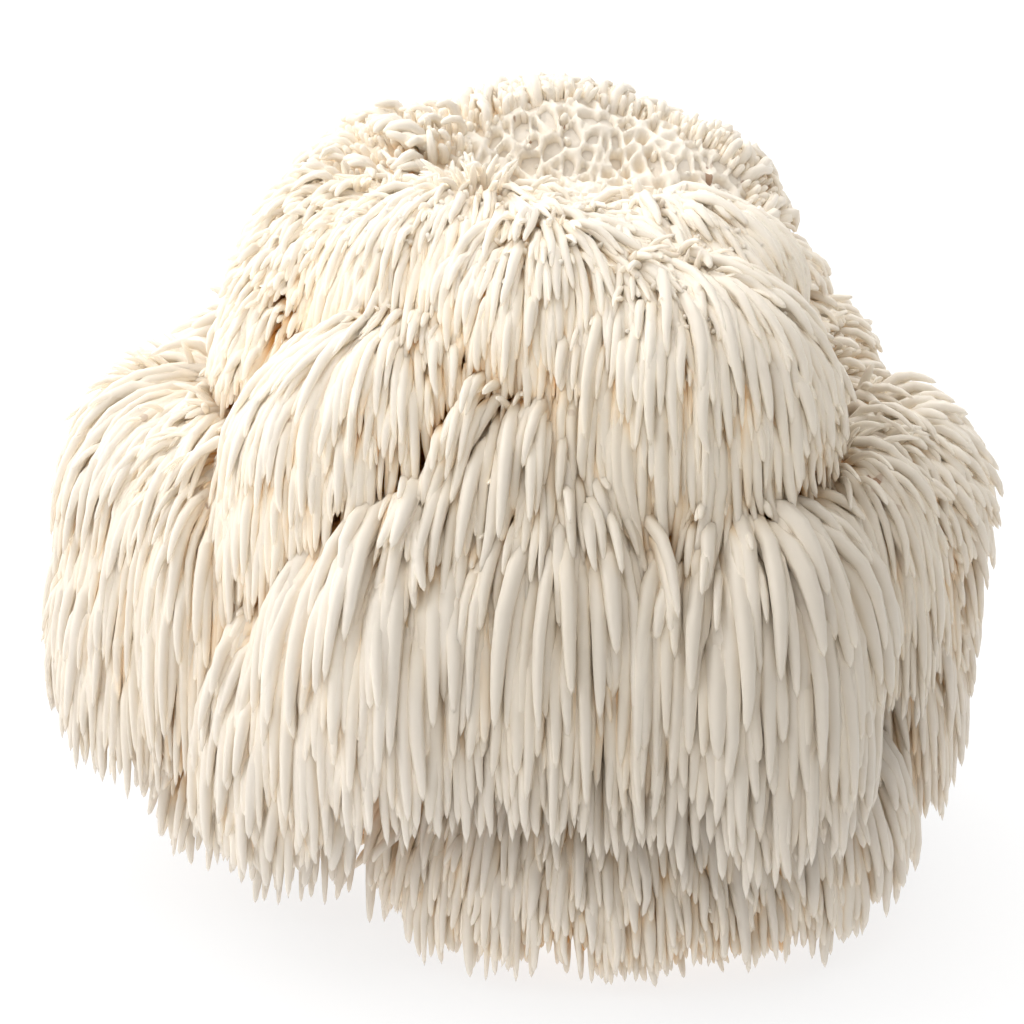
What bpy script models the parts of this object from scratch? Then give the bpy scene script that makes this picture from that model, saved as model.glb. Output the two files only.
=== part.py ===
# Lion's mane mushroom (Hericium erinaceus), one fruiting body cut flat where it grew on wood.
# Metres, +Z up, the front of the mushroom faces -Y. It stands on its cut base at z = 0,
# and the middle of its footprint box is the origin.

import math
import random

import bmesh
import bpy
from mathutils import Euler, Matrix, Vector

# Driving dimensions
MM = 0.001
BODY_WIDTH = 140 * MM
SPINE_SPACING = 8.6 * MM
SPINE_RADIUS = 1.9 * MM
SPINE_STEPS = 6
SPINE_ROOT_DEPTH = 2 * MM
SPINE_CLEARANCE = 1.2 * MM
LOBE_BLEND = 2 * MM
FLOOR_CLEARANCE = 3.5 * MM
SKIN_VOXEL = 0.9 * MM
TRIANGLE_GOAL = 9400
SEED = 11

# Flesh lobes in millimetres: centre, semi-axes (across, through, tall), roll in degrees about Y,
# the length of the spines that the lobe carries, and the way its spines are combed.
LOBES = {
    "core": ((1, 6, 43), (49, 44, 42), 0, 17, (0, 0, 0)),
    "ridge_left": ((-18, 10, 97), (17, 16, 12), -20, 10, (0, 0, 0)),
    "ridge_middle": ((4, 16, 99), (20, 15, 13), 0, 9, (0, 0, 0)),
    "ridge_right": ((23, 12, 95), (14, 15, 12), 25, 10, (0, 0, 0)),
    "slope_right_high": ((29, 6, 83), (12, 16, 13), 35, 11, (0, 0, 0)),
    "slope_right_low": ((38, 6, 68), (12, 17, 14), 35, 12, (0, 0, 0)),
    "dome_left_high": ((-24, -4, 89), (13, 16, 14), -25, 13, (0, 0, 0)),
    "dome_left_low": ((-29, -10, 77), (11, 14, 16), -15, 17, (-0.4, 0, 0)),
    "upper_curtain": ((-9, -22, 97), (16, 12, 9), -5, 17, (0, 0, 0)),
    "centre_tuft": ((3, -34, 94), (11, 10, 10), 0, 17, (0, 0, 0)),
    "slanting_shelf": ((-22, -34, 77), (18, 11, 11), -35, 19, (-0.6, 0, -0.2)),
    "top_right": ((23, -20, 95), (14, 12, 9), 15, 15, (0.9, 0, -0.1)),
    "crown": ((8, -4, 92), (24, 17, 10), 0, 7, (0, 0, 0)),
    "right_centre": ((21, -39, 84), (18, 13, 14), 10, 22, (0, 0, 0)),
    "left_centre": ((-14, -43, 53), (17, 12, 15), -42, 23, (-0.5, 0, 0)),
    "left_centre_high": ((0, -40, 73), (11, 10, 10), -42, 19, (-0.5, 0, -0.2)),
    "left_bottom": ((-27, -33, 36), (12, 13, 13), -25, 20, (-0.3, 0, 0)),
    "centre_bottom": ((7, -49, 57), (11, 10, 14), 0, 23, (0, 0, 0)),
    "right_bottom_centre": ((28, -48, 54), (14, 13, 15), 10, 25, (0, 0, 0)),
    "right_inner": ((43, -32, 61), (9, 11, 11), 15, 18, (0.4, 0, 0)),
    "far_right_high": ((50, -10, 57), (12, 18, 14), 20, 17, (0.4, 0, 0)),
    "far_right_low": ((49, -10, 41), (11, 18, 16), 0, 17, (0.2, 0, 0)),
    "right_bottom": ((38, -29, 22), (11, 12, 10), 10, 18, (0.3, 0, 0)),
    "left_shoulder": ((-49, -2, 61), (13, 17, 12), -20, 21, (-0.3, 0, 0)),
    "left_side": ((-52, -4, 44), (12, 18, 16), 0, 22, (0, 0, 0)),
    "left_inner": ((-40, -20, 52), (11, 13, 17), -10, 23, (0, 0, 0)),
    "front_skirt": ((14, -31, 18), (29, 19, 17), 0, 12, (0, 0, 0)),
    "left_skirt": ((-35, -10, 24), (15, 17, 12), 0, 13, (0, 0, 0)),
    "back_high_left": ((-22, 33, 82), (16, 14, 13), 0, 18, (0, 0, 0)),
    "back_high_right": ((19, 36, 84), (17, 13, 12), 0, 18, (0, 0, 0)),
    "back_mid_left": ((-40, 28, 58), (14, 15, 15), 0, 20, (0, 0, 0)),
    "back_mid_centre": ((-6, 43, 60), (18, 12, 14), 0, 20, (0, 0, 0)),
    "back_mid_right": ((29, 38, 62), (15, 13, 14), 0, 20, (0, 0, 0)),
    "back_side_right": ((47, 20, 44), (12, 15, 15), 0, 20, (0, 0, 0)),
    "back_low_left": ((-30, 37, 33), (15, 13, 13), 0, 18, (0, 0, 0)),
    "back_low_centre": ((4, 46, 34), (16, 11, 13), 0, 18, (0, 0, 0)),
    "back_low_right": ((33, 38, 32), (15, 12, 13), 0, 18, (0, 0, 0)),
    "back_skirt": ((2, 22, 17), (34, 20, 12), 0, 12, (0, 0, 0)),
    "foot_left": ((-4, 1, 6), (22, 25, 12), 0, 8, (0, 0, 0)),
    "foot_right": ((21, -3, 6), (24, 22, 12), 0, 8, (0, 0, 0)),
}


class Lobe:
    """An ellipsoid of flesh with the spines that it carries."""

    def __init__(self, centre, semi_axes, roll, spine_length, comb):
        self.centre = Vector(centre) * MM
        self.semi_axes = Vector(semi_axes) * MM
        self.turn = Euler((0, math.radians(roll), 0)).to_matrix()
        self.spine_length = spine_length * MM
        self.comb = Vector(comb)

    def matrix(self):
        place = Matrix.Translation(self.centre) @ self.turn.to_4x4()
        return place @ Matrix.Diagonal(self.semi_axes.to_4d())

    def distance(self, point):
        """Distance from the lobe's surface, below zero inside, and the way out."""
        local = self.turn.transposed() @ (point - self.centre)
        scaled = Vector(a / s for a, s in zip(local, self.semi_axes))
        twice = Vector(a / s for a, s in zip(scaled, self.semi_axes))
        if twice.length == 0:
            return -min(self.semi_axes), Vector((0, 0, 1))
        gap = scaled.length * (scaled.length - 1) / twice.length
        return gap, self.turn @ twice.normalized()

    def surface_points(self, spacing):
        """Points spread evenly over the lobe by the golden angle."""
        across, through, tall = self.semi_axes
        mean_square = (across * through + across * tall + through * tall) / 3
        count = int(4 * math.pi * mean_square / spacing ** 2)
        golden_angle = math.pi * (3 - math.sqrt(5))
        for i in range(count):
            height = 1 - (2 * i + 1) / count
            ring = math.sqrt(1 - height * height)
            angle = i * golden_angle
            unit = Vector((ring * math.cos(angle), ring * math.sin(angle), height))
            yield self.centre + self.turn @ (unit * self.semi_axes)


def clear_scene():
    for obj in list(bpy.data.objects):
        bpy.data.objects.remove(obj)


def new_collection(name):
    collection = bpy.data.collections.new(name)
    bpy.context.scene.collection.children.link(collection)
    return collection


def flesh_gap(lobes, point):
    """Distance to the joined lobes and the way out, with the creases between them eased."""
    gaps = [lobe.distance(point) for lobe in lobes]
    nearest = min(gap for gap, _ in gaps)
    way_out = Vector()
    weight_sum = 0
    for gap, normal in gaps:
        weight = math.exp(-(gap - nearest) / LOBE_BLEND)
        way_out += normal * weight
        weight_sum += weight
    return nearest - LOBE_BLEND * math.log(weight_sum), way_out.normalized()


def spine_roots(lobes):
    """Root points on the outside of the flesh, each no nearer than the spacing to the others."""
    roots = []
    for lobe in lobes:
        others = [other for other in lobes if other is not lobe]
        for point in lobe.surface_points(SPINE_SPACING):
            buried = any(other.distance(point)[0] < 0 for other in others)
            crowded = any((point - root).length < 0.75 * SPINE_SPACING for root, _ in roots)
            if point.z > 2 * FLOOR_CLEARANCE and not buried and not crowded:
                roots.append((point, lobe))
    return roots


def spine_path(lobes, root, lobe, dice):
    """A line that leaves the flesh at a slant, then hangs down clear of it."""
    _, normal = flesh_gap(lobes, root)
    length = lobe.spine_length * dice.uniform(0.85, 1.15)
    step = length / SPINE_STEPS
    down = Vector((0, 0, -1))
    slant = down + 0.8 * lobe.comb
    heading = (normal + 0.7 * slant).normalized()
    path = [root - normal * SPINE_ROOT_DEPTH]
    for number in range(1, SPINE_STEPS + 1):
        heading = (heading + 0.45 * down).normalized()
        point = path[-1] + heading * step
        gap, way_out = flesh_gap(lobes, point)
        wanted = SPINE_CLEARANCE * (1 + number / SPINE_STEPS)
        if gap < wanted:
            point += way_out * (wanted - gap)
        heading = (point - path[-1]).normalized()
        point = path[-1] + heading * step
        if point.z < FLOOR_CLEARANCE:
            break
        path.append(point)
    return path


def add_spines(lobes, collection):
    """All coarse spines as one curve object, each an open tube that thins to its tip."""
    dice = random.Random(SEED)
    curve = bpy.data.curves.new("spines", "CURVE")
    curve.dimensions = "3D"
    curve.bevel_depth = SPINE_RADIUS
    curve.bevel_resolution = 1
    curve.use_fill_caps = True
    for root, lobe in spine_roots(lobes):
        path = spine_path(lobes, root, lobe, dice)
        if len(path) < 3:
            continue
        spline = curve.splines.new("POLY")
        spline.points.add(len(path) - 1)
        for number, (point, place) in enumerate(zip(spline.points, path)):
            along = number / (len(path) - 1)
            point.co = (*place, 1)
            point.radius = 1.15 - 0.85 * along ** 2
    obj = bpy.data.objects.new("spines", curve)
    collection.objects.link(obj)
    return obj


def mesh_from(obj, collection):
    """A mesh copy of an object as its curve and modifiers leave it, in place of the object."""
    name = obj.name
    evaluated = obj.evaluated_get(bpy.context.evaluated_depsgraph_get())
    mesh = bpy.data.meshes.new_from_object(evaluated)
    mesh.transform(obj.matrix_world)
    bpy.data.objects.remove(obj)
    mesh.name = name
    copy = bpy.data.objects.new(name, mesh)
    collection.objects.link(copy)
    return copy


def add_flesh(lobes, spines, collection):
    """The lobes and the spines in one mesh, still overlapping."""
    shape = bmesh.new()
    shape.from_mesh(spines.data)
    bmesh.ops.remove_doubles(shape, verts=shape.verts, dist=0.0001 * MM)
    for lobe in lobes:
        bmesh.ops.create_icosphere(shape, subdivisions=4, radius=1, matrix=lobe.matrix())
    mesh = bpy.data.meshes.new("fruiting_body")
    shape.to_mesh(mesh)
    shape.free()
    bpy.data.objects.remove(spines)
    obj = bpy.data.objects.new("fruiting_body", mesh)
    collection.objects.link(obj)
    return obj


def fuse(obj, collection):
    """One skin over lobes and spines, thinned to the triangle goal."""
    skin = obj.modifiers.new("skin", "REMESH")
    skin.mode = "VOXEL"
    skin.voxel_size = SKIN_VOXEL
    obj = mesh_from(obj, collection)
    keep_largest_piece(obj)
    triangles = sum(len(face.vertices) - 2 for face in obj.data.polygons)
    thin = obj.modifiers.new("thin", "DECIMATE")
    thin.ratio = TRIANGLE_GOAL / triangles
    thin.use_collapse_triangulate = True
    return mesh_from(obj, collection)


def keep_largest_piece(obj):
    """Removes crumbs that the skin leaves off the body."""
    shape = bmesh.new()
    shape.from_mesh(obj.data)
    left = set(shape.verts)
    pieces = []
    while left:
        piece = {left.pop()}
        edge_of_piece = list(piece)
        while edge_of_piece:
            vert = edge_of_piece.pop()
            for edge in vert.link_edges:
                other = edge.other_vert(vert)
                if other in left:
                    left.remove(other)
                    piece.add(other)
                    edge_of_piece.append(other)
        pieces.append(piece)
    pieces.sort(key=len)
    crumbs = [vert for piece in pieces[:-1] for vert in piece]
    bmesh.ops.delete(shape, geom=crumbs, context="VERTS")
    shape.to_mesh(obj.data)
    shape.free()


def cut_base(obj, cutters):
    """The flat cut at z = 0, where the mushroom came off the wood."""
    side = 2 * BODY_WIDTH
    shape = bmesh.new()
    bmesh.ops.create_cube(shape, size=side, matrix=Matrix.Translation((0, 0, -side / 2)))
    mesh = bpy.data.meshes.new("wood_side")
    shape.to_mesh(mesh)
    shape.free()
    cutter = bpy.data.objects.new("wood_side", mesh)
    cutter.hide_render = True
    cutter.display_type = "WIRE"
    cutters.objects.link(cutter)
    cut = obj.modifiers.new("base_cut", "BOOLEAN")
    cut.operation = "DIFFERENCE"
    cut.solver = "EXACT"
    cut.object = cutter


def centre_on_origin(obj):
    """Moves the body so that the middle of its footprint box is the origin."""
    xs = [vert.co.x for vert in obj.data.vertices]
    ys = [vert.co.y for vert in obj.data.vertices]
    middle = Vector((min(xs) + max(xs), min(ys) + max(ys), 0)) / 2
    obj.data.transform(Matrix.Translation(-middle))


def flesh_material():
    """Fresh cream-white flesh, moist and slightly see-through at the spine tips."""
    material = bpy.data.materials.new("fresh_flesh")
    material.use_nodes = True
    shader = material.node_tree.nodes["Principled BSDF"]
    shader.inputs["Base Color"].default_value = (0.87, 0.79, 0.66, 1)
    shader.inputs["Roughness"].default_value = 0.45
    shader.inputs["Metallic"].default_value = 0
    shader.inputs["Subsurface Weight"].default_value = 0.3
    shader.inputs["Subsurface Radius"].default_value = (0.004, 0.003, 0.002)
    return material


def main():
    clear_scene()
    parts = new_collection("lions_mane_mushroom")
    cutters = new_collection("cutters")
    lobes = [Lobe(*values) for values in LOBES.values()]
    spines = mesh_from(add_spines(lobes, parts), parts)
    body = fuse(add_flesh(lobes, spines, parts), parts)
    body.name = "fruiting_body"
    centre_on_origin(body)
    cut_base(body, cutters)
    body.data.shade_smooth()
    body.data.materials.append(flesh_material())


main()
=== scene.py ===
# Lion's mane mushroom: flesh lobes with several thousand hanging spines, in a plain white studio.
import math

import bpy
import numpy as np
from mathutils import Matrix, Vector, noise


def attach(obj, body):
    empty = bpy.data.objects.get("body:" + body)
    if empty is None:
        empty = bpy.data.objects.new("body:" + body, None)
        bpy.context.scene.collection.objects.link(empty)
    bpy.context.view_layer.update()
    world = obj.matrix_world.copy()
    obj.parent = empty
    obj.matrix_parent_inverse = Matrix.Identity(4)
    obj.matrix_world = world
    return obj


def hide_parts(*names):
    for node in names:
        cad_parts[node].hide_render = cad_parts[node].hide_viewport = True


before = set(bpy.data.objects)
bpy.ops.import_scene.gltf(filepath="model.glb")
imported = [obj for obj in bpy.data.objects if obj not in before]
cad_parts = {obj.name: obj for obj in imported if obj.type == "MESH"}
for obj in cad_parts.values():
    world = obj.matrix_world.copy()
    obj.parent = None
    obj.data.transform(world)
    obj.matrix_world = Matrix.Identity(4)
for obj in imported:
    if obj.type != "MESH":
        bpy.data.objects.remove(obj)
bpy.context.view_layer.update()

mm = 0.001

# Flesh lobes in millimetres: centre, semi-axes (across, through, tall) and roll in degrees about Y.
lobes = {
    "core": ((1, 6, 43), (49, 44, 42), 0),
    "ridgeLeft": ((-18, 10, 97), (17, 16, 12), -20),
    "ridgeMiddle": ((4, 16, 99), (20, 15, 13), 0),
    "ridgeRight": ((23, 12, 95), (14, 15, 12), 25),
    "slopeRightHigh": ((29, 6, 83), (12, 16, 13), 35),
    "slopeRightLow": ((38, 6, 68), (12, 17, 14), 35),
    "domeLeftHigh": ((-24, -4, 89), (13, 16, 14), -25),
    "domeLeftLow": ((-29, -10, 77), (11, 14, 16), -15),
    "upperCurtain": ((-9, -22, 97), (16, 12, 9), -5),
    "centreTuft": ((3, -34, 94), (11, 10, 10), 0),
    "slantingShelf": ((-22, -34, 77), (18, 11, 11), -35),
    "topRight": ((23, -20, 95), (14, 12, 9), 15),
    "crown": ((8, -4, 92), (24, 17, 10), 0),
    "rightCentre": ((21, -39, 84), (18, 13, 14), 10),
    "leftCentre": ((-14, -43, 53), (17, 12, 15), -42),
    "leftCentreHigh": ((0, -40, 73), (11, 10, 10), -42),
    "leftBottom": ((-27, -33, 36), (12, 13, 13), -25),
    "centreBottom": ((7, -49, 57), (11, 10, 14), 0),
    "rightBottomCentre": ((28, -48, 54), (14, 13, 15), 10),
    "rightInner": ((43, -32, 61), (9, 11, 11), 15),
    "farRightHigh": ((50, -10, 57), (12, 18, 14), 20),
    "farRightLow": ((49, -10, 41), (11, 18, 16), 0),
    "rightBottom": ((38, -29, 22), (11, 12, 10), 10),
    "leftShoulder": ((-49, -2, 61), (13, 17, 12), -20),
    "leftSide": ((-52, -4, 44), (12, 18, 16), 0),
    "leftInner": ((-40, -20, 52), (11, 13, 17), -10),
    "frontSkirt": ((14, -31, 18), (29, 19, 17), 0),
    "leftSkirt": ((-35, -10, 24), (15, 17, 12), 0),
    "backHighLeft": ((-22, 33, 82), (16, 14, 13), 0),
    "backHighRight": ((19, 36, 84), (17, 13, 12), 0),
    "backMidLeft": ((-40, 28, 58), (14, 15, 15), 0),
    "backMidCentre": ((-6, 43, 60), (18, 12, 14), 0),
    "backMidRight": ((29, 38, 62), (15, 13, 14), 0),
    "backSideRight": ((47, 20, 44), (12, 15, 15), 0),
    "backLowLeft": ((-30, 37, 33), (15, 13, 13), 0),
    "backLowCentre": ((4, 46, 34), (16, 11, 13), 0),
    "backLowRight": ((33, 38, 32), (15, 12, 13), 0),
    "backSkirt": ((2, 22, 17), (34, 20, 12), 0),
    "footLeft": ((-4, 1, 6), (22, 25, 12), 0),
    "footRight": ((21, -3, 6), (24, 22, 12), 0),
}
lobeNames = list(lobes)
footprintShift = np.array([1.5, 3.0, 0])  # to the middle of the solid's footprint, in millimetres
lobeCentres = (np.array([lobes[name][0] for name in lobeNames]) + footprintShift) * mm
lobeSizes = np.array([lobes[name][1] for name in lobeNames]) * mm
lobeRolls = np.radians([lobes[name][2] for name in lobeNames])
lobeTurns = np.zeros((len(lobeNames), 3, 3))
lobeTurns[:, 0, 0] = lobeTurns[:, 2, 2] = np.cos(lobeRolls)
lobeTurns[:, 0, 2] = np.sin(lobeRolls)
lobeTurns[:, 2, 0] = -np.sin(lobeRolls)
lobeTurns[:, 1, 1] = 1


def unit(vectors):
    return vectors / (np.linalg.norm(vectors, axis=-1, keepdims=True) + 1e-12)


def lobeGaps(points):
    # distance of each point from each lobe, below zero inside, and the slope in the lobe's own axes
    local = (points - lobeCentres[:, None]) @ lobeTurns / lobeSizes[:, None]
    slope = local / lobeSizes[:, None]
    size = np.sqrt(np.einsum("mni,mni->mn", local, local))
    steep = np.sqrt(np.einsum("mni,mni->mn", slope, slope)) + 1e-12
    return (size * (size - 1) / steep).T, slope / steep[..., None]


def fleshGap(points, blend=2 * mm):
    # distance from all the flesh, with the creases between lobes eased, and the way out of it
    gap, slope = lobeGaps(points)
    nearest = gap.min(axis=1)
    weight = np.exp((nearest[:, None] - gap) / blend)
    out = slope @ lobeTurns.transpose(0, 2, 1)
    wayOut = unit((weight.T[..., None] * out).sum(axis=0))
    return nearest - blend * np.log(weight.sum(axis=1)), wayOut


def deselectAll():
    if bpy.context.object and bpy.context.object.mode != "OBJECT":
        bpy.ops.object.mode_set(mode="OBJECT")
    bpy.ops.object.select_all(action="DESELECT")


def applyModifiers(obj):
    bpy.context.view_layer.objects.active = obj
    for modifier in list(obj.modifiers):
        bpy.ops.object.modifier_apply(modifier=modifier.name)


def readVerts(mesh):
    places = np.zeros(len(mesh.vertices) * 3, dtype=np.float32)
    normals = places.copy()
    mesh.vertices.foreach_get("co", places)
    mesh.vertices.foreach_get("normal", normals)
    return places.reshape(-1, 3), normals.reshape(-1, 3)


# Flesh: every lobe is a sphere at its place, and one skin is drawn over them all
fleshLook = {"skinCell": 2.1 * mm, "smoothTurns": 4, "lumpSize": 7 * mm, "lumpHeight": 0.8 * mm}


def makeFlesh():
    deselectAll()
    spheres = []
    for centre, size, roll in zip(lobeCentres, lobeSizes, lobeRolls):
        bpy.ops.mesh.primitive_ico_sphere_add(
            subdivisions=4, radius=1, location=centre, rotation=(0, roll, 0), scale=size,
        )
        spheres.append(bpy.context.object)
    deselectAll()
    for sphere in spheres:
        sphere.select_set(True)
    bpy.context.view_layer.objects.active = spheres[0]
    bpy.ops.object.join()
    flesh = bpy.context.object
    flesh.name = "fleshBody"
    bpy.ops.object.transform_apply(location=True, rotation=True, scale=True)
    skin = flesh.modifiers.new("skin", "REMESH")
    skin.mode = "VOXEL"
    skin.voxel_size = fleshLook["skinCell"]
    ease = flesh.modifiers.new("ease", "SMOOTH")
    ease.iterations = fleshLook["smoothTurns"]
    applyModifiers(flesh)
    places, normals = readVerts(flesh.data)
    lumps = [noise.noise(place) for place in places / fleshLook["lumpSize"]]
    places += normals * (np.array(lumps) * fleshLook["lumpHeight"])[:, None]
    flesh.data.vertices.foreach_set("co", places.ravel())
    bpy.ops.object.mode_set(mode="EDIT")
    bpy.ops.mesh.select_all(action="SELECT")
    bpy.ops.mesh.bisect(plane_co=(0, 0, 0), plane_no=(0, 0, 1), clear_inner=True, use_fill=True)
    bpy.ops.object.mode_set(mode="OBJECT")
    flesh.data.shade_smooth()
    return flesh


# Crown net: on the crown the flesh is a net of fine struts round pits, which are painted a honey-coloured
# shade
netLook = {
    "centre": (13.5 * mm, 1 * mm), "size": (52 * mm, 42 * mm), "bare": (20 * mm, 15 * mm),
    "step": 0.42 * mm, "lowest": 92 * mm, "dropFrom": 125 * mm, "dropTurns": 40,
    "cell": 2.3 * mm, "stretch": (1.0, 0.62, 0.62), "warp": 0.45, "strut": 0.26,
    "rise": 1.0 * mm, "depth": 2.2 * mm, "sink": 2 * mm, "borderFrom": 0.75, "borderWidth": 0.2,
}


def makeCrownNet():
    columns = round(netLook["size"][0] / netLook["step"])
    rows = round(netLook["size"][1] / netLook["step"])
    deselectAll()
    bpy.ops.mesh.primitive_grid_add(
        x_subdivisions=columns, y_subdivisions=rows, size=1,
        location=(*netLook["centre"], netLook["dropFrom"]),
    )
    net = bpy.context.object
    net.name = "crownNet"
    net.scale = (*netLook["size"], 1)
    bpy.ops.object.transform_apply(location=True, rotation=True, scale=True)
    places = readVerts(net.data)[0].astype(float)
    flat = (places[:, :2] - netLook["centre"]) / netLook["size"] * 2
    for _ in range(netLook["dropTurns"]):
        gap, out = fleshGap(places)
        places[:, 2] -= gap
    gap, out = fleshGap(places)
    lift = np.zeros(len(places))
    for number, place in enumerate(places):
        spot = Vector(place / netLook["cell"] * netLook["stretch"])
        spot += noise.noise_vector(spot * 0.8) * netLook["warp"]
        near = noise.voronoi(spot)[0]
        edge = min((near[1] - near[0]) / netLook["strut"], 2) / 2
        lift[number] = 1 - 3 * edge ** 2 + 2 * edge ** 3
    border = np.hypot(flat[:, 0], flat[:, 1]) - netLook["borderFrom"]
    border = np.clip(border / netLook["borderWidth"], 0, 1)
    height = lift * (netLook["rise"] + netLook["depth"]) - netLook["depth"]
    places += out * (height - border * netLook["sink"])[:, None]
    net.data.vertices.foreach_set("co", places.astype(np.float32).ravel())
    net.data.shade_smooth()
    return net, lift


# Master spines: a ring is drawn out and tapered to a blunt point, as an icicle one unit long.
# Places are heights of its rings, sizes their radii.
masterLook = {
    "long": {
        "sides": 6, "places": (0, 0.1, 0.25, 0.42, 0.58, 0.73, 0.86, 0.95),
        "sizes": (0.85, 0.95, 1.0, 0.98, 0.93, 0.82, 0.64, 0.4),
    },
    "short": {
        "sides": 6, "places": (0, 0.15, 0.36, 0.56, 0.75, 0.88, 0.96),
        "sizes": (0.88, 0.98, 1.0, 0.93, 0.78, 0.58, 0.36),
    },
    "coarse": {
        "sides": 5, "places": (0, 0.15, 0.36, 0.56, 0.75, 0.88, 0.96),
        "sizes": (0.88, 0.98, 1.0, 0.93, 0.78, 0.58, 0.36),
    },
    "noodle": {
        "sides": 5, "places": (0, 0.15, 0.35, 0.55, 0.75, 0.9, 0.97),
        "sizes": (0.9, 1.0, 1.0, 0.96, 0.88, 0.72, 0.45),
    },
}


def makeMaster(name, sides, places, sizes):
    deselectAll()
    bpy.ops.mesh.primitive_circle_add(vertices=sides, radius=sizes[0], location=(0, 0, 0))
    master = bpy.context.object
    master.name = name
    bpy.ops.object.mode_set(mode="EDIT")
    bpy.ops.mesh.select_all(action="SELECT")
    for number in range(1, len(places)):
        rise = places[number] - places[number - 1]
        grow = sizes[number] / sizes[number - 1]
        bpy.ops.mesh.extrude_region_move(TRANSFORM_OT_translate={"value": (0, 0, rise)})
        bpy.ops.transform.resize(
            value=(grow, grow, 1), center_override=(0, 0, places[number]),
        )
    bpy.ops.mesh.extrude_region_move(TRANSFORM_OT_translate={"value": (0, 0, 1 - places[-1])})
    bpy.ops.mesh.merge(type="CENTER")
    bpy.ops.mesh.select_all(action="SELECT")
    bpy.ops.mesh.normals_make_consistent(inside=False)
    bpy.ops.object.mode_set(mode="OBJECT")
    return master


def masterShape(master):
    # section place and height of each vertex, and the faces, for copying along a path
    verts = np.array([vert.co for vert in master.data.vertices])
    faces = [tuple(face.vertices) for face in master.data.polygons]
    heights = np.unique(np.round(verts[:, 2], 4))
    ring = np.array([np.abs(heights - z).argmin() for z in verts[:, 2]])
    return {"section": verts[:, :2], "ring": ring, "heights": heights, "faces": faces}


# Coats of spines, by lobe. What a coat or a lobe doesn't say is as in plain. Lengths are in millimetres:
# length, thick (half of a spine's width), spacing of the roots, cover (depth of the coat over the flesh)
# and hang (how far the lowest tips reach below the lobe).
# lift is the slant off the flesh at the root in degrees, comb the way the spines lean, drape how soon
# they hang, curl how much they hook over, cling how closely they follow the flesh.
# fan is how far they part sideways, topLength the share of the length left on top of a lobe.
# tiers is the number of fringes, tilt their slope to the right, point the slope either side of a place.
# band is how far down a lobe the roots go, from 1 at its top to -1, and onNet keeps to the bare crown.
plain = {
    "length": 18, "thick": 1.0, "spacing": 2.1, "lift": 20, "comb": (0, 0, 0), "drape": 1.0,
    "cover": 3.0, "curl": 0.0, "topLength": 0.9, "hang": 9, "tiers": 1, "band": -0.15,
    "cling": 0, "tilt": 0, "fan": 1.0, "point": (0, 0), "onNet": False,
}
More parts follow.
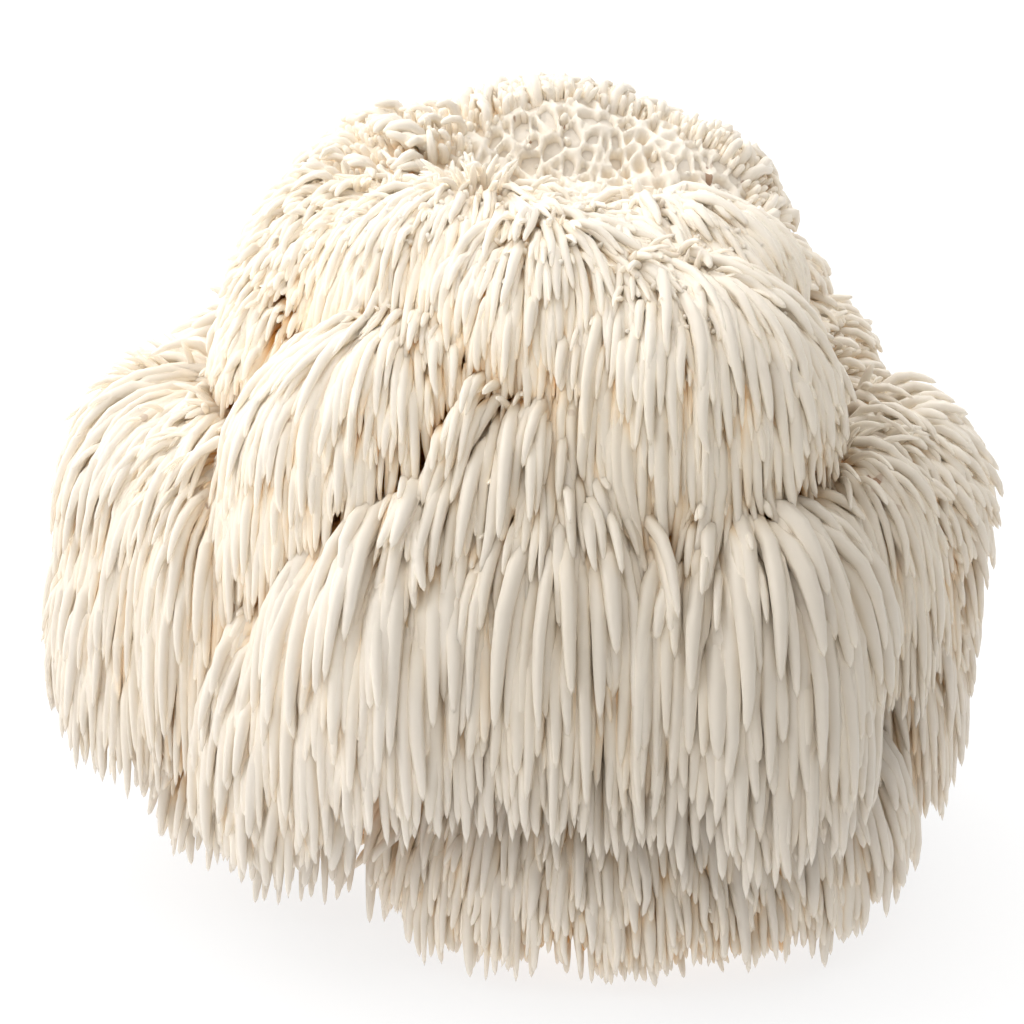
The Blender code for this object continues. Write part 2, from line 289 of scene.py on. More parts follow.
coats = {
    "crownNubs": {
        "shape": "noodle",
        "lobes": {"crown": {}, "ridgeMiddle": {}, "ridgeRight": {}},
        "length": 2.2, "thick": 0.65, "spacing": 3.0, "lift": 70, "drape": 0.1, "cover": 0.5,
        "curl": 0.2, "topLength": 1, "band": -1, "onNet": True,
    },
    "crestNubs": {
        "shape": "noodle",
        "lobes": {"upperCurtain": {}, "centreTuft": {}, "topRight": {}, "rightCentre": {"band": 0.2}},
        "length": 4, "thick": 0.55, "spacing": 2.0, "lift": 30, "cover": 1.6, "topLength": 0.8,
        "band": 0.5, "tiers": 3,
    },
    "ridgeNoodles": {
        "shape": "noodle",
        "lobes": {
            "ridgeLeft": {"length": 6, "comb": (-0.5, 0.1, 0.1), "lift": 30, "curl": 0.3},
            "ridgeMiddle": {"comb": (0.1, 1.0, 0.9)},
            "ridgeRight": {"comb": (0.5, 1.0, 0.7)},
        },
        "length": 9, "thick": 0.78, "spacing": 1.9, "lift": 14, "drape": 0.1, "cover": 1.5,
        "curl": 0.2, "topLength": 1, "band": -0.4, "cling": 0.5,
    },
    "slopeHooks": {
        "shape": "noodle",
        "lobes": {
            "slopeRightHigh": {"comb": (0.6, 0, 0.1)},
            "slopeRightLow": {"comb": (0.6, 0, 0)},
        },
        "length": 6.5, "thick": 0.65, "spacing": 1.9, "lift": 32, "drape": 0.4, "cover": 1.4,
        "curl": 0.25, "topLength": 1, "band": -0.8,
    },
    "domeSpines": {
        "shape": "short",
        "lobes": {
            "domeLeftHigh": {"length": 10},
            "domeLeftLow": {"length": 13},
            "upperCurtain": {"length": 16, "tiers": 1, "hang": 4, "band": -0.3},
        },
        "thick": 0.7, "spacing": 1.75, "cover": 1.8, "lift": 28, "drape": 1.7, "tiers": 2,
        "band": -0.9, "fan": 0.25,
    },
    "shelfSpines": {
        "shape": "long",
        "lobes": {
            "slantingShelf": {
                "length": 26, "comb": (-0.3, 0, -0.2), "hang": 2, "tilt": 0.9, "lift": 24,
                "drape": 1.5, "cover": 2.4,
            },
            "centreTuft": {
                "length": 17, "hang": 3, "fan": 0.3, "thick": 0.75, "spacing": 1.8, "lift": 28,
                "drape": 1.7, "cover": 2.0,
            },
            "topRight": {
                "length": 15, "comb": (0.9, 0, -0.1), "hang": 0, "lift": 6, "cover": 1.6,
                "band": -0.6, "cling": 0.4,
            },
        },
        "thick": 0.8, "spacing": 1.9, "cover": 2.8, "lift": 7,
    },
    "rightCentreSpines": {
        "shape": "long",
        "lobes": {"rightCentre": {}},
        "length": 26, "thick": 0.95, "spacing": 2.05, "lift": 22, "drape": 1.5, "cover": 2.6,
        "hang": 13, "point": (0.8, -6), "band": -0.6, "topLength": 0.8, "fan": 0.7,
    },
    "leftCentreSpines": {
        "shape": "long",
        "lobes": {
            "leftCentre": {"comb": (-0.3, 0, 0), "hang": 10, "tilt": 0.3},
            "leftCentreHigh": {
                "length": 22, "comb": (-0.3, 0, -0.2), "hang": 8, "tilt": 0.3, "thick": 0.95,
            },
            "leftBottom": {"length": 30, "comb": (-0.2, 0, 0), "hang": 8, "tilt": -0.2},
        },
        "length": 36, "thick": 1.25, "spacing": 2.6, "lift": 12, "drape": 1.2, "cover": 4.4,
        "hang": 12,
    },
    "rightFrontSpines": {
        "shape": "long",
        "lobes": {
            "centreBottom": {"length": 34, "hang": 14},
            "rightBottomCentre": {
                "length": 36, "thick": 1.4, "spacing": 2.7, "hang": 15, "point": (0.3, 0),
            },
            "rightBottom": {"length": 28, "comb": (0.1, 0, 0), "hang": 9, "tilt": 0.6},
        },
        "thick": 1.2, "spacing": 2.55, "lift": 12, "drape": 1.2, "cover": 4.4, "hang": 13,
    },
    "rightSideSpines": {
        "shape": "long",
        "lobes": {
            "rightInner": {"length": 26, "comb": (0.2, 0, 0), "tilt": -0.3},
            "farRightHigh": {"length": 18, "comb": (0.2, 0, 0), "tiers": 2, "band": -0.6, "fan": 0.6},
            "farRightLow": {"length": 22, "tiers": 2, "band": -0.6, "fan": 0.6},
        },
        "thick": 0.85, "spacing": 2.2, "cover": 3.0, "lift": 8,
    },
    "leftSideSpines": {
        "shape": "long",
        "lobes": {
            "leftShoulder": {"length": 26, "fan": 0.6, "thick": 0.85, "spacing": 2.0},
            "leftSide": {"length": 30, "hang": 8, "tilt": -0.5},
            "leftInner": {"length": 34},
        },
        "thick": 0.95, "spacing": 2.25, "cover": 3.8, "lift": 8,
    },
    "skirtSpines": {
        "shape": "coarse",
        "lobes": {
            "core": {"length": 20},
            "frontSkirt": {"length": 20, "spacing": 2.2, "hang": -3},
            "leftSkirt": {"tilt": -0.6},
            "backSkirt": {"spacing": 3.2, "hang": 0},
            "footLeft": {"length": 7, "thick": 0.7},
            "footRight": {"length": 7, "thick": 0.7},
        },
        "length": 15, "thick": 1.0, "spacing": 2.8, "cover": 3.2, "topLength": 1, "band": -1,
    },
    "backHighSpines": {
        "shape": "coarse",
        "lobes": {
            "backHighLeft": {"length": 22},
            "backHighRight": {"length": 22},
            "backMidLeft": {},
            "backMidCentre": {},
            "backMidRight": {},
        },
        "length": 27, "thick": 1.2, "spacing": 3.2, "cover": 3.4, "lift": 10,
    },
    "backLowSpines": {
        "shape": "coarse",
        "lobes": {"backSideRight": {}, "backLowLeft": {}, "backLowCentre": {}, "backLowRight": {}},
        "length": 26, "thick": 1.15, "spacing": 3.0, "cover": 3.6, "lift": 10,
    },
}
growth = {
    "seed": 7, "axis": (5.5 * mm, 7 * mm, 0), "steps": 10,
    # roots
    "rootDepth": 1.2 * mm, "rootFloor": 3 * mm, "rootOverlap": 0.2 * mm, "topCrowding": 1.3,
    "belowBand": 0.15,
    # length, and the wavy fringes where the tips end
    "fringeWave": 8 * mm, "fringeRise": 5 * mm, "fringeWander": 0.4, "fringeScatter": 0.3,
    "shortest": 0.5, "longest": 1.25, "unevenness": 0.5, "thickRange": (0.8, 1.2),
    # the way they hang
    "droopLength": 6 * mm, "straySway": 0.2, "sway": 0.045, "strayShare": 0.06, "bend": 0.014,
    "coverRange": (0.5, 1.2), "floorRoom": 0.6 * mm, "floorTouch": 0.8,
}


def lobeRoots(index, spacing, band, onNet, dice):
    # points spread over one lobe by the golden angle, mostly above its root band
    size = lobeSizes[index]
    meanSquare = (size[0] * size[1] + size[0] * size[2] + size[1] * size[2]) / 3
    count = int(4 * math.pi * meanSquare / spacing ** 2 * growth["topCrowding"])
    step = (np.arange(count) + 0.5) / count
    polar = np.arccos(1 - 2 * step ** growth["topCrowding"])
    turn = math.pi * (3 - math.sqrt(5)) * np.arange(count)
    around = np.stack([np.cos(turn) * np.sin(polar), np.sin(turn) * np.sin(polar), np.cos(polar)], 1)
    around = unit(around + dice.normal(scale=0.5 / math.sqrt(count), size=(count, 3)))
    points = lobeCentres[index] + (around * size) @ lobeTurns[index].T
    gap, _ = lobeGaps(points)
    gap[:, index] = 1
    keep = (gap.min(axis=1) > -growth["rootOverlap"]) & (points[:, 2] > growth["rootFloor"])
    keep &= (around[:, 2] > band) | (dice.random(count) < growth["belowBand"])
    fromNet = (points[:, :2] - netLook["centre"]) / netLook["bare"]
    bare = (np.hypot(fromNet[:, 0], fromNet[:, 1]) < 1) & (points[:, 2] > netLook["lowest"])
    keep &= bare == onNet
    return points[keep]


def sowRoots(dice):
    points, owners = [], []
    for coat, look in coats.items():
        for name, own in look["lobes"].items():
            spec = {**plain, **look, **own}
            place = lobeRoots(lobeNames.index(name), spec["spacing"] * mm, spec["band"], spec["onNet"], dice)
            points.append(place)
            owners += [(coat, name)] * len(place)
    return np.concatenate(points), owners


def growSpines(points, owners, dice):
    specs = [{**plain, **coats[coat], **coats[coat]["lobes"][name]} for coat, name in owners]
    value = {key: np.array([spec[key] for spec in specs], float) for key in plain}
    count = len(points)
    index = np.array([lobeNames.index(name) for _, name in owners])
    centre, size = lobeCentres[index], lobeSizes[index]
    _, out = fleshGap(points)
    topness = np.clip(out[:, 2], 0, 1) ** 1.5
    highness = np.clip((points[:, 2] - centre[:, 2]) / (2 * size[:, 2]) + 0.5, 0, 1)

    # the tips of a lobe end along a few wavy fringes, the lowest one below the lobe
    reach = value["length"] * mm * (1 + (value["topLength"] - 1) * topness)
    aside = points[:, 0] - centre[:, 0]
    lowest = centre[:, 2] - size[:, 2] - value["hang"] * mm + value["tilt"] * aside
    lowest += value["point"][:, 0] * np.abs(aside - value["point"][:, 1] * mm)
    tier = (2 * size[:, 2] + value["hang"] * mm) / value["tiers"]
    wave = np.array([noise.noise(Vector(place)) for place in points / growth["fringeWave"]])
    level = (points[:, 2] - lowest - reach) / tier + growth["fringeWander"] * wave
    level += dice.normal(scale=growth["fringeScatter"], size=count)
    level = np.maximum(np.round(level), 0)
    drop = points[:, 2] - lowest - level * tier + wave * growth["fringeRise"]
    length = np.clip(drop * 1.1, growth["shortest"] * reach, reach * growth["longest"])
    length *= 1.05 - growth["unevenness"] * dice.random(count) ** 2
    thick = value["thick"] * mm * dice.uniform(*growth["thickRange"], count)
    thick *= np.clip(length / (value["length"] * 0.6 * mm), 0.55, 1)
    lift = np.radians(value["lift"] * (1 - 0.5 * topness) + dice.normal(scale=3, size=count))

    def alongFlesh(vectors):
        return vectors - (vectors * out).sum(axis=1)[:, None] * out

    # every lobe is combed forwards from a parting high on its inner side
    outward = centre - np.array(growth["axis"])
    outward[:, 2] = 0
    outward = unit(outward)
    parting = centre - 1.3 * outward * np.linalg.norm(outward * size, axis=1)[:, None]
    parting[:, 2] += 0.5 * size[:, 2]
    fromAxis = points - np.array(growth["axis"])
    fromAxis[:, 2] = 0
    down = np.array([0, 0, -0.8]) * (1 - topness)[:, None]
    flow = unit(alongFlesh(points - parting)) * value["fan"][:, None]
    flow += alongFlesh(0.5 * unit(fromAxis) + down)
    flow = flow * np.clip(value["drape"], 0.1, 1)[:, None]
    stray = np.where(dice.random(count) < growth["strayShare"], growth["straySway"], growth["sway"])[:, None]
    flow += alongFlesh(value["comb"]) + alongFlesh(dice.normal(size=(count, 3)) * stray)
    heading = unit(unit(flow) * np.cos(lift)[:, None] + out * np.sin(lift)[:, None])
    stride = length / growth["steps"]
    cover = value["cover"] * mm * (0.25 + 0.75 * highness) * dice.uniform(*growth["coverRange"], count)
    bend = dice.normal(scale=growth["bend"], size=(count, 3))
    curlAxis = unit(np.cross(heading, out) + dice.normal(scale=0.35, size=(count, 3)))
    path = np.zeros((count, growth["steps"] + 1, 3))
    path[:, 0] = points - out * growth["rootDepth"]
    for step in range(1, growth["steps"] + 1):
        part = step / growth["steps"]
        fall = value["drape"] * stride / growth["droopLength"]
        heading = unit(heading + np.array([0, 0, -1.0]) * fall[:, None] + bend)
        hook = value["curl"] * (0.3 + 0.7 * part)
        heading = unit(heading - np.cross(curlAxis, heading) * hook[:, None])
        place = path[:, step - 1] + heading * stride[:, None]
        gap, way = fleshGap(place)
        wanted = thick * 0.7 + cover * min(1, 1.6 * part)
        push = np.clip(wanted - gap, 0, None) - value["cling"] * np.clip(gap - wanted, 0, None)
        place += way * push[:, None]
        heading = unit(place - path[:, step - 1])
        path[:, step] = path[:, step - 1] + heading * stride[:, None]
    lowest = path[:, :, 2].min(axis=1)
    kept = lowest > growth["floorRoom"] + 0.2 * thick
    return path, thick, kept


# Neighbouring spines push each other sideways, so that each keeps a shape of its own
roomLook = {"turns": 3, "room": 1.7, "push": 0.35, "farthest": 0.35 * mm, "span": 1000}


def spreadApart(path, thick):
    count, rings, _ = path.shape
    span = roomLook["span"]
    spineOf = np.repeat(np.arange(count), rings - 1)
    reach = roomLook["room"] * np.repeat(thick, rings - 1)
    cell = reach.max()
    ways = [(x, y, z) for x in (-1, 0, 1) for y in (-1, 0, 1) for z in (-1, 0, 1)]
    for _ in range(roomLook["turns"]):
        flat = path[:, 1:].reshape(-1, 3)
        box = np.floor(flat / cell).astype(int) + span // 2
        key = (box[:, 0] * span + box[:, 1]) * span + box[:, 2]
        order = np.argsort(key)
        keys = key[order]
        shift = np.zeros_like(flat)
        for x, y, z in ways:
            wanted = key + (x * span + y) * span + z
            first = np.searchsorted(keys, wanted, "left")
            found = np.searchsorted(keys, wanted, "right") - first
            mine = np.repeat(np.arange(len(flat)), found)
            nth = np.arange(found.sum()) - np.repeat(np.cumsum(found) - found, found)
            theirs = order[np.repeat(first, found) + nth]
            away = flat[mine] - flat[theirs]
            gap = np.linalg.norm(away, axis=1) + 1e-9
            near = (spineOf[mine] != spineOf[theirs]) & (gap < reach[mine])
            push = np.where(near, roomLook["push"] * (reach[mine] - gap) / gap, 0)
            for axis in range(3):
                shift[:, axis] += np.bincount(mine, push * away[:, axis], minlength=len(flat))
        shift = shift.reshape(count, rings - 1, 3)
        step = np.linspace(0.3, 1, rings - 1)[None, :, None]
        path[:, 1:] += np.clip(shift, -roomLook["farthest"], roomLook["farthest"]) * step
        path[:, 2:-1] = 0.5 * path[:, 2:-1] + 0.25 * (path[:, 1:-2] + path[:, 3:])
    return path


# Some spines part into two tips partway down
forkLook = {"share": 0.12, "from": 0.35, "apart": 1.7, "lengths": (0.8, 0.98), "thin": 0.85}


def forkSpines(path, thick, owners, dice):
    chosen = np.nonzero(dice.random(len(path)) < forkLook["share"])[0]
    twin = path[chosen].copy()
    part = np.linspace(0, 1, path.shape[1])
    spread = np.clip((part - forkLook["from"]) / (1 - forkLook["from"]), 0, 1)
    aside = unit(dice.normal(size=(len(chosen), 3)) * (1, 1, 0.2))
    aside *= (forkLook["apart"] * thick[chosen])[:, None]
    twin += aside[:, None, :] * spread[None, :, None]
    along = twin - twin[:, :1]
    twin = twin[:, :1] + along * dice.uniform(*forkLook["lengths"], len(chosen))[:, None, None]
    path = np.concatenate([path, twin])
    thick = np.concatenate([thick, thick[chosen] * forkLook["thin"]])
    return path, thick, owners + [owners[index] for index in chosen]


def samplePath(path, places):
    # a smooth curve through the path's points, read at the master's ring heights
    last = path.shape[1] - 1
    out = np.zeros((len(path), len(places), 3))
    for number, place in enumerate(places):
        at = place * last
        low = min(int(at), last - 1)
        f = at - low
        a, b = path[:, max(low - 1, 0)], path[:, low]
        c, d = path[:, low + 1], path[:, min(low + 2, last)]
        out[:, number] = b + 0.5 * f * (c - a + f * (2 * a - 5 * b + 4 * c - d + f * (3 * (b - c) + d - a)))
    return out


def copyAlong(master, path, thick, dice):
    # one copy of the master for each path, bent to follow it
    rings = samplePath(path, master["heights"])
    along = unit(np.gradient(rings, axis=1))
    side = unit(np.cross(along[:, 0], unit(dice.normal(size=(len(path), 3)))))
    flat = dice.uniform(0.72, 1.0, len(path))
    verts = np.zeros((len(path), len(master["ring"]), 3))
    for number in range(rings.shape[1]):
        side = unit(side - (side * along[:, number]).sum(axis=1)[:, None] * along[:, number])
        other = np.cross(along[:, number], side)
        here = master["ring"] == number
        x = master["section"][here, 0][None, :, None] * thick[:, None, None]
        y = master["section"][here, 1][None, :, None] * (thick * flat)[:, None, None]
        verts[:, here] = rings[:, None, number] + x * side[:, None] + y * other[:, None]
    return verts


# How open each place is to the light: the coat and the flesh are counted in small cells,
# and the way out is walked in several directions.
openLook = {
    "cell": 1.0 * mm, "ways": 26, "stride": 1.2 * mm, "reach": 10, "hidden": 0.185,
    "spineWeight": 0.9, "fleshWeight": 9.0, "samples": 26, "fleshRadius": 72 * mm, "firstStep": 0.6 * mm,
    "low": (-80 * mm, -80 * mm, -2 * mm), "high": (80 * mm, 80 * mm, 130 * mm),
}


def fillCells(path, thick):
    low = np.array(openLook["low"])
    shape = np.ceil((np.array(openLook["high"]) - low) / openLook["cell"]).astype(int)
    cells = np.zeros(shape)
    fine = samplePath(path, np.linspace(0.03, 0.97, openLook["samples"]))
    stretch = np.linalg.norm(np.diff(fine, axis=1), axis=2).mean(axis=1)
    volume = math.pi * (0.8 * thick) ** 2 * stretch / openLook["cell"] ** 3
    index = np.clip(((fine - low) / openLook["cell"]).astype(int), 0, shape - 1)
    np.add.at(cells, tuple(index.reshape(-1, 3).T), np.repeat(volume, fine.shape[1]))
    cells = np.clip(cells, 0, 1) * openLook["spineWeight"]
    axes = [low[k] + (np.arange(shape[k]) + 0.5) * openLook["cell"] for k in range(3)]
    for layer, z in enumerate(axes[2]):
        x, y = np.meshgrid(axes[0], axes[1], indexing="ij")
        place = np.stack([x.ravel(), y.ravel(), np.full(x.size, z)], 1)
        nearAxis = np.hypot(place[:, 0], place[:, 1]) < openLook["fleshRadius"]
        solid = np.zeros(len(place), bool)
        solid[nearAxis] = lobeGaps(place[nearAxis])[0].min(axis=1) < -0.5 * mm
        cells[:, :, layer][solid.reshape(x.shape)] = openLook["fleshWeight"]
    return cells, low


def openness(points, cells, low):
    step = np.arange(openLook["ways"]) + 0.5
    polar = np.arccos(1 - 2 * step / openLook["ways"])
    turn = math.pi * (3 - math.sqrt(5)) * step
    ways = np.stack([np.cos(turn) * np.sin(polar), np.sin(turn) * np.sin(polar), np.cos(polar)], 1)
    weight = 0.2 + 0.8 * np.clip(0.3 + ways[:, 2], 0, 1)
    light = np.zeros(len(points))
    for way, share in zip(ways, weight):
        thickness = np.zeros(len(points))
        for number in range(1, openLook["reach"] + 1):
            place = points + way * (number * openLook["stride"] + openLook["firstStep"])
            index = ((place - low) / openLook["cell"]).astype(int)
            index = np.clip(index, 0, np.array(cells.shape) - 1)
            thickness += cells[tuple(index.T)] * openLook["stride"] / openLook["cell"]
        light += share * np.exp(-thickness)
    return light / weight.sum()


def addFloats(mesh, name, values):
    attribute = mesh.attributes.new(name, "FLOAT", "POINT")
    attribute.data.foreach_set("value", np.ascontiguousarray(values, dtype=np.float32))


def buildCoat(name, master, path, thick, tone, cells, low, dice):
    verts = copyAlong(master, path, thick, dice)
    perSpine = verts.shape[1]
    light = openness(verts.reshape(-1, 3), cells, low)
    faces = []
    for number in range(len(path)):
        faces += [tuple(vertex + number * perSpine for vertex in face) for face in master["faces"]]
    mesh = bpy.data.meshes.new(name)
    mesh.from_pydata(verts.reshape(-1, 3).tolist(), [], faces)
    mesh.shade_smooth()
    addFloats(mesh, "alongSpine", np.tile(master["heights"][master["ring"]], len(path)))
    addFloats(mesh, "spineTone", np.repeat(tone, perSpine))
    # how open each place is to the light; the materials paint shade from it
    addFloats(mesh, "openSky", light)
    coat = bpy.data.objects.new(name, mesh)
    bpy.context.scene.collection.objects.link(coat)
    return coat


def linear(hexColour):
    channels = [int(hexColour[k:k + 2], 16) / 255 for k in (1, 3, 5)]
    return [c / 12.92 if c <= 0.04045 else ((c + 0.055) / 1.055) ** 2.4 for c in channels] + [1]


def addNode(tree, kind, settings=None, **inputs):
    # a node with its settings, and each input set to a value or linked to a socket
    node = tree.nodes.new(kind)
    for key, value in (settings or {}).items():
        setattr(node, key, value)
    for key, value in inputs.items():
        numbered = key[0] == "i" and key[1:].isdigit()
        socket = node.inputs[int(key[1:]) if numbered else key]
        if isinstance(value, bpy.types.NodeSocket):
            tree.links.new(value, socket)
        else:
            socket.default_value = value
    return node


def setStops(ramp, stops):
    while len(ramp.elements) > 1:
        ramp.elements.remove(ramp.elements[-1])
    ramp.elements[0].position = stops[0][0]
    ramp.elements[0].color = linear(stops[0][1])
    for place, colour in stops[1:]:
        ramp.elements.new(place).color = linear(colour)


# Fresh fungal flesh: watery and waxy, so light soaks in and shadows stay soft. The warm gaps and crevices are
# painted shade: the base colour runs from amber to cream by how open each place is to the light
fleshAndShadeColours = {
    "crevice": "#DC9440", "deep": "#EDB062", "gap": "#F9DFBB", "shade": "#F6EAD7", "open": "#F3E9DA",
    "tip": "#F7F0E4", "speck": "#8E5C2E",
}
freshFinish = {"ior": 1.38, "soak": 0.6, "soakDepth": 1.1 * mm, "soakColour": (1.0, 1.0, 0.95)}
spineFinish = {
    "roughness": 0.42,
    # painted shade: amber in the deepest gaps, cream where open to the light
    "stops": ((0.05, "deep"), (0.15, "gap"), (0.33, "shade"), (0.58, "open")),
    "toneSpread": 0.35, "toneShare": 0.16, "tipFrom": 0.4, "tipShare": 0.7,
    # painted shade: the lowest spines, and those round one place at the right front, are made a little
    # darker, where less light falls
    "lowFrom": 85 * mm, "lowTo": 30 * mm, "lowPaintedShade": (0.86, 0.855, 0.86, 1),
    "shadedPlace": (28 * mm, -42 * mm, 56 * mm), "shadedNear": 28 * mm, "shadedFar": 54 * mm,
    "rightPaintedShade": (0.83, 0.82, 0.8, 1),
    # brown specks under a millimetre wide, about 3 mm apart at most, near the roots
    "speckSize": 3 * mm, "speckFrom": 0.7, "speckTo": 0.74, "speckShare": 0.75,
    "rootTo": 0.2, "rootFade": 0.45,
}
bodyFinish = {
    "roughness": 0.5,
    # painted shade: amber in the crevices between lobes, cream where open to the light
    "stops": ((0.09, "crevice"), (0.24, "gap"), (0.42, "shade"), (0.6, "open")),
    "poreSize": 1.4 * mm, "poreStrength": 0.5, "poreDepth": 0.4 * mm,
}


def startFresh(name, finish):
    # the soft waxy shader that both materials share, the light that reaches each place, and a base colour
    # painted from it as shade
    material = bpy.data.materials.new(name)
    material.use_nodes = True
    tree = material.node_tree
    shader = tree.nodes["Principled BSDF"]
    shader.subsurface_method = "BURLEY"
    shader.inputs["Roughness"].default_value = finish["roughness"]
    shader.inputs["IOR"].default_value = freshFinish["ior"]
    shader.inputs["Subsurface Weight"].default_value = freshFinish["soak"]
    shader.inputs["Subsurface Radius"].default_value = freshFinish["soakColour"]
    shader.inputs["Subsurface Scale"].default_value = freshFinish["soakDepth"]
    light = addNode(tree, "ShaderNodeAttribute", {"attribute_name": "openSky"}).outputs["Fac"]
    place = addNode(tree, "ShaderNodeTexCoord").outputs["Object"]
    ramp = addNode(tree, "ShaderNodeValToRGB")
    setStops(ramp.color_ramp, [(at, fleshAndShadeColours[colour]) for at, colour in finish["stops"]])
    return material, tree, shader, light, place, ramp


def makeSpineMaterial():
    look = spineFinish
    material, tree, shader, light, place, ramp = startFresh("freshSpineFlesh", look)
    along = addNode(tree, "ShaderNodeAttribute", {"attribute_name": "alongSpine"}).outputs["Fac"]
    tone = addNode(tree, "ShaderNodeAttribute", {"attribute_name": "spineTone"}).outputs["Fac"]
    # painted shade: the ramp is read by openness to the light, shifted a little by each spine's own random
    # tone
    shifted = addNode(
        tree, "ShaderNodeMath", {"operation": "MULTIPLY_ADD"}, i0=tone, i1=look["toneShare"], i2=light,
    )
    tree.links.new(shifted.outputs[0], ramp.inputs["Fac"])
    # the tips are paler, mixed in only as far as light reaches them: partly the spines' own paler tips,
    # partly painted light
    tipShare = addNode(
        tree, "ShaderNodeMapRange", None, i0=along, i1=look["tipFrom"], i2=1, i3=0, i4=look["tipShare"],
    )
    tipOpen = addNode(tree, "ShaderNodeMath", {"operation": "MULTIPLY"}, i0=tipShare.outputs[0], i1=light)
    # painted shade: darker towards the bottom and round one place at the right front
    height = addNode(tree, "ShaderNodeSeparateXYZ", None, Vector=place)
    lowShadeShare = addNode(
        tree, "ShaderNodeMapRange", None, i0=height.outputs["Z"], i1=look["lowTo"], i2=look["lowFrom"],
        i3=1, i4=0,
    )
    away = addNode(tree, "ShaderNodeVectorMath", {"operation": "DISTANCE"}, i0=place, i1=look["shadedPlace"])
    rightShadeShare = addNode(
        tree, "ShaderNodeMapRange", None, i0=away.outputs["Value"], i1=look["shadedNear"], i2=look["shadedFar"],
        i3=1, i4=0,
    )
    dots = addNode(tree, "ShaderNodeTexNoise", None, Vector=place, Scale=1 / look["speckSize"], Detail=1.0)
    dotShare = addNode(
        tree, "ShaderNodeMapRange", None, i0=dots.outputs[0], i1=look["speckFrom"], i2=look["speckTo"],
        i3=0, i4=look["speckShare"],
    )
    rootShare = addNode(
        tree, "ShaderNodeMapRange", None, i0=along, i1=look["rootTo"], i2=look["rootFade"], i3=1, i4=0,
    )
    speckShare = addNode(
        tree, "ShaderNodeMath", {"operation": "MULTIPLY"}, i0=dotShare.outputs[0], i1=rootShare.outputs[0],
    )
    colour = ramp.outputs[0]
    layers = (
        ("MIX", tipOpen, linear(fleshAndShadeColours["tip"])),
        ("MULTIPLY", lowShadeShare, look["lowPaintedShade"]),
        ("MULTIPLY", rightShadeShare, look["rightPaintedShade"]),
        ("MIX", speckShare, linear(fleshAndShadeColours["speck"])),
    )
    for way, share, top in layers:
        settings = {"data_type": "RGBA", "blend_type": way}
        mix = addNode(tree, "ShaderNodeMix", settings, i0=share.outputs[0], i6=colour, i7=top)
        colour = mix.outputs[2]
    tree.links.new(colour, shader.inputs["Base Color"])
    return material


def makeFleshMaterial():
    look = bodyFinish
    material, tree, shader, light, place, ramp = startFresh("freshBodyFlesh", look)
    # painted shade: the base colour comes from how open each place is to the light
    tree.links.new(light, ramp.inputs["Fac"])
    tree.links.new(ramp.outputs[0], shader.inputs["Base Color"])
    pores = addNode(tree, "ShaderNodeTexVoronoi", None, Vector=place, Scale=1 / look["poreSize"])
    bump = addNode(
        tree, "ShaderNodeBump", None, Height=pores.outputs[0], Strength=look["poreStrength"],
        Distance=look["poreDepth"],
    )
    tree.links.new(bump.outputs[0], shader.inputs["Normal"])
    return material


# White sweep under soft light from the upper left, and the photograph's view from 18 degrees up.
# The glow keeps the sweep white where the mushroom shades it.
studioLook = {
    "sweepSize": 6, "sweepShade": 0.2, "sweepRoughness": 0.8, "sweepGlow": 0.79,
    "skyWay": (-0.5, 0.46, 0.73), "skyFrom": -0.5, "skyTo": 1, "skyDim": 0.03, "skyBright": 1.92,
    "keyWay": (-0.95, 0.08, 0.8), "keyStrength": 0.55, "keySoftness": 40,
    "lens": 130, "rise": 18, "away": 547 * mm, "target": (0, 3 * mm, 53 * mm),
}


def makeStudio():
    look = studioLook
    deselectAll()
    bpy.ops.mesh.primitive_plane_add(size=look["sweepSize"], location=(0, 0, 0))
    floor = bpy.context.object
    floor.name = "studioFloor"
    paper = bpy.data.materials.new("whitePaper")
    paper.use_nodes = True
    shader = paper.node_tree.nodes["Principled BSDF"]
    shader.inputs["Base Color"].default_value = (*[look["sweepShade"]] * 3, 1)
    shader.inputs["Roughness"].default_value = look["sweepRoughness"]
    shader.inputs["Emission Color"].default_value = (1, 1, 1, 1)
    shader.inputs["Emission Strength"].default_value = look["sweepGlow"]
    floor.data.materials.append(paper)
    world = bpy.data.worlds.new("whiteStudio")
    bpy.context.scene.world = world
    world.use_nodes = True
    tree = world.node_tree
    backing = tree.nodes["Background"]
    backing.inputs["Color"].default_value = (1, 1, 1, 1)
    way = addNode(tree, "ShaderNodeTexCoord").outputs["Generated"]
    facing = addNode(tree, "ShaderNodeVectorMath", {"operation": "DOT_PRODUCT"}, i0=way, i1=look["skyWay"])
    level = addNode(
        tree, "ShaderNodeMapRange", None, i0=facing.outputs["Value"], i1=look["skyFrom"], i2=look["skyTo"],
        i3=look["skyDim"], i4=look["skyBright"],
    )
    tree.links.new(level.outputs[0], backing.inputs["Strength"])
    key = bpy.data.lights.new("softKey", "SUN")
    key.energy = look["keyStrength"]
    key.angle = math.radians(look["keySoftness"])
    keyObject = bpy.data.objects.new("softKey", key)
    keyObject.rotation_euler = Vector(look["keyWay"]).to_track_quat("Z", "Y").to_euler()
    bpy.context.scene.collection.objects.link(keyObject)
    lens = bpy.data.cameras.new("studioCamera")
    lens.lens = look["lens"]
    camera = bpy.data.objects.new("studioCamera", lens)
    rise = math.radians(look["rise"])
    wayOut = Vector((0, -math.cos(rise), math.sin(rise)))
    camera.location = Vector(look["target"]) + wayOut * look["away"]
    camera.rotation_euler = (math.pi / 2 - rise, 0, 0)
    bpy.context.scene.collection.objects.link(camera)
    bpy.context.scene.camera = camera
    bpy.context.scene.view_settings.view_transform = "Standard"


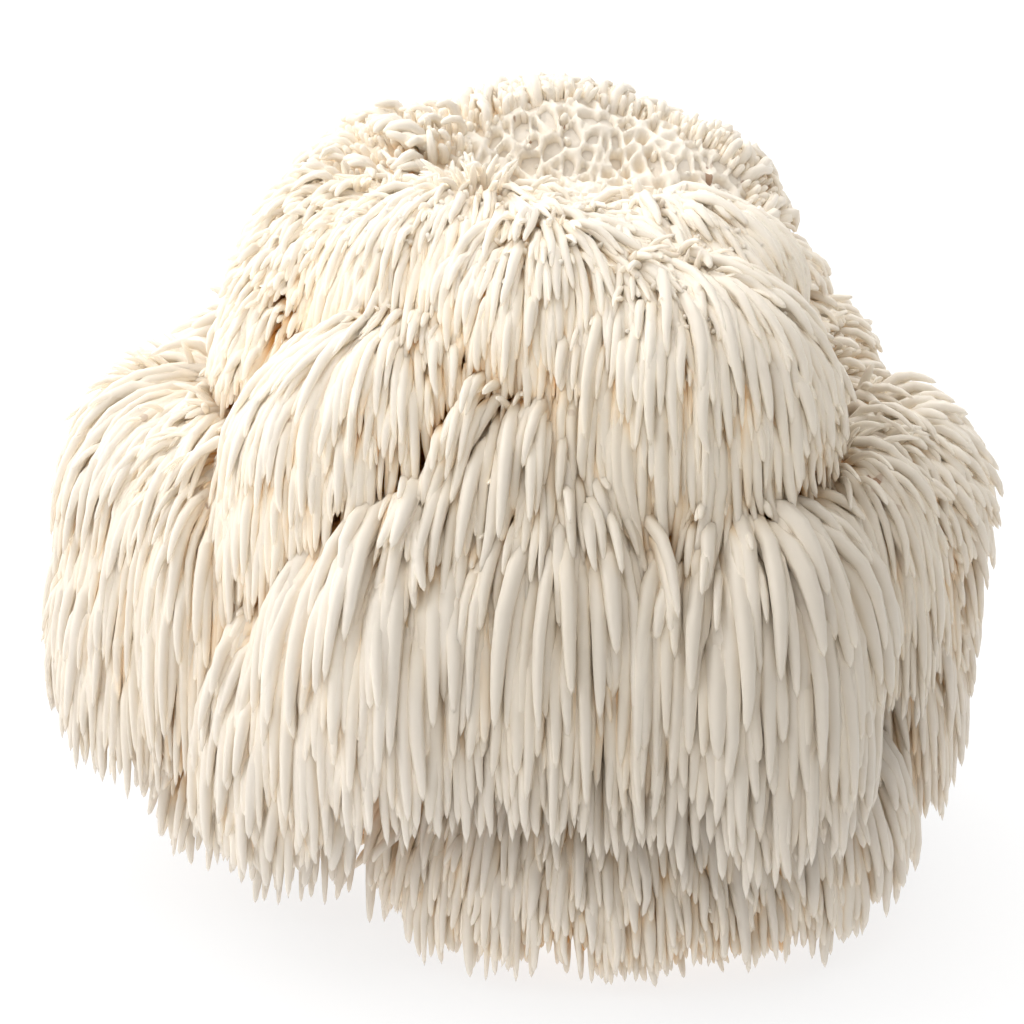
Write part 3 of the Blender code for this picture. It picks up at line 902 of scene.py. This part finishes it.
def growCoat(dice):
    # the paths, half widths and owners of all the spines, kept apart and clear of the floor
    points, owners = sowRoots(dice)
    path, thick, kept = growSpines(points, owners, dice)
    path, thick = path[kept], thick[kept]
    owners = [owner for owner, keep in zip(owners, kept) if keep]
    path = spreadApart(path, thick)
    path, thick, owners = forkSpines(path, thick, owners, dice)
    path[..., 2] = np.maximum(path[..., 2], growth["floorTouch"] * thick[:, None])
    return path, thick, owners


def dropHidden(path, thick, owners, cells, low):
    # spines that no light reaches anywhere are left out
    light = openness(path[:, 1:].reshape(-1, 3), cells, low).reshape(len(path), -1)
    seen = light.max(axis=1) > openLook["hidden"]
    print(len(path), "spines grown,", seen.sum(), "in sight")
    return path[seen], thick[seen], [owner for owner, keep in zip(owners, seen) if keep]


def finishPiece(piece, material):
    piece.data.materials.clear()
    piece.data.materials.append(material)
    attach(piece, "root")


def main():
    makeStudio()
    flesh = makeFlesh()
    print("flesh", len(flesh.data.polygons), "faces")
    masters = {
        name: makeMaster(name + "Spine", look["sides"], look["places"], look["sizes"])
        for name, look in masterLook.items()
    }
    shapes = {name: masterShape(master) for name, master in masters.items()}
    for master in masters.values():
        bpy.data.objects.remove(master)
    dice = np.random.default_rng(growth["seed"])
    noise.seed_set(growth["seed"])  # else the crown net takes its warp from the clock
    path, thick, owners = growCoat(dice)
    cells, low = fillCells(path, thick)
    path, thick, owners = dropHidden(path, thick, owners, cells, low)
    tone = dice.normal(scale=spineFinish["toneSpread"], size=len(path))
    spineMaterial = makeSpineMaterial()
    for name, look in coats.items():
        shape = shapes[look["shape"]]
        mine = np.array([index for index, owner in enumerate(owners) if owner[0] == name])
        coat = buildCoat(name, shape, path[mine], thick[mine], tone[mine], cells, low, dice)
        finishPiece(coat, spineMaterial)
        print(name, len(mine), "spines")
    net, strut = makeCrownNet()
    places, _ = readVerts(net.data)
    # painted shade: the pits and the places the coat hides get the deep amber end of the ramp
    addFloats(net.data, "openSky", 0.6 * strut ** 0.6 * (0.3 + openness(places, cells, low)))
    finishPiece(net, spineMaterial)
    print("crown net", len(net.data.polygons), "faces")
    places, _ = readVerts(flesh.data)
    # how open the flesh is to the light, which its material paints as shade
    addFloats(flesh.data, "openSky", openness(places, cells, low))
    finishPiece(flesh, makeFleshMaterial())
    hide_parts("fruiting_body")


main()
